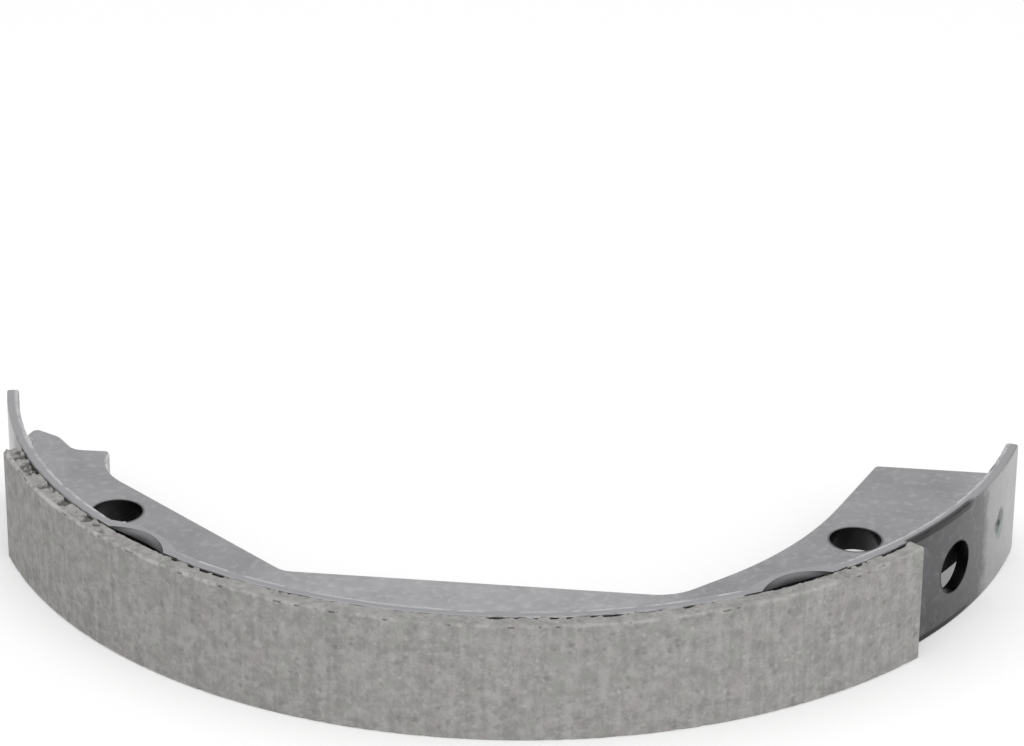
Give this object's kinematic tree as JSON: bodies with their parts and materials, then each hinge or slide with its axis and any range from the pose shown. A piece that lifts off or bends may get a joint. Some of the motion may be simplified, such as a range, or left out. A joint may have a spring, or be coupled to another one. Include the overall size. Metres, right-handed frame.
{
  "type": "brake shoe",
  "caption": "Drum brake shoe: curved steel rim with a welded steel web inside and a bonded friction lining outside, which it presses against the drum.",
  "frame": {"origin": "the middle of the shoe's outline, level with its lower edge; the drum's axis is at x -0.2 mm, y +50.4 mm", "axes": "+Z along the drum's axis, -Y towards the crown of the curve, +X towards the wide end of the web"},
  "size_m": [0.1708, 0.0792, 0.02],
  "materials": {
    "rim_steel": "thin dark paint over rolled steel, semi-gloss",
    "web_steel": "thin dark paint over blanked steel, semi-gloss",
    "weld_metal": "painted weld metal, uneven and glossy",
    "adhesive": "cured dark adhesive",
    "lining": "ground mineral-filled friction material, matte and mottled"
  },
  "bodies": {
    "root": {"shoe_rim": "rim_steel", "shoe_web": "web_steel", "bond_film": "adhesive", "friction_lining": "lining", "weld_nugget_1": "weld_metal", "weld_nugget_2": "weld_metal", "weld_nugget_3": "weld_metal", "weld_nugget_4": "weld_metal", "weld_nugget_5": "weld_metal", "weld_nugget_6": "weld_metal", "weld_nugget_7": "weld_metal", "weld_nugget_8": "weld_metal"}
  },
  "joints": []
}
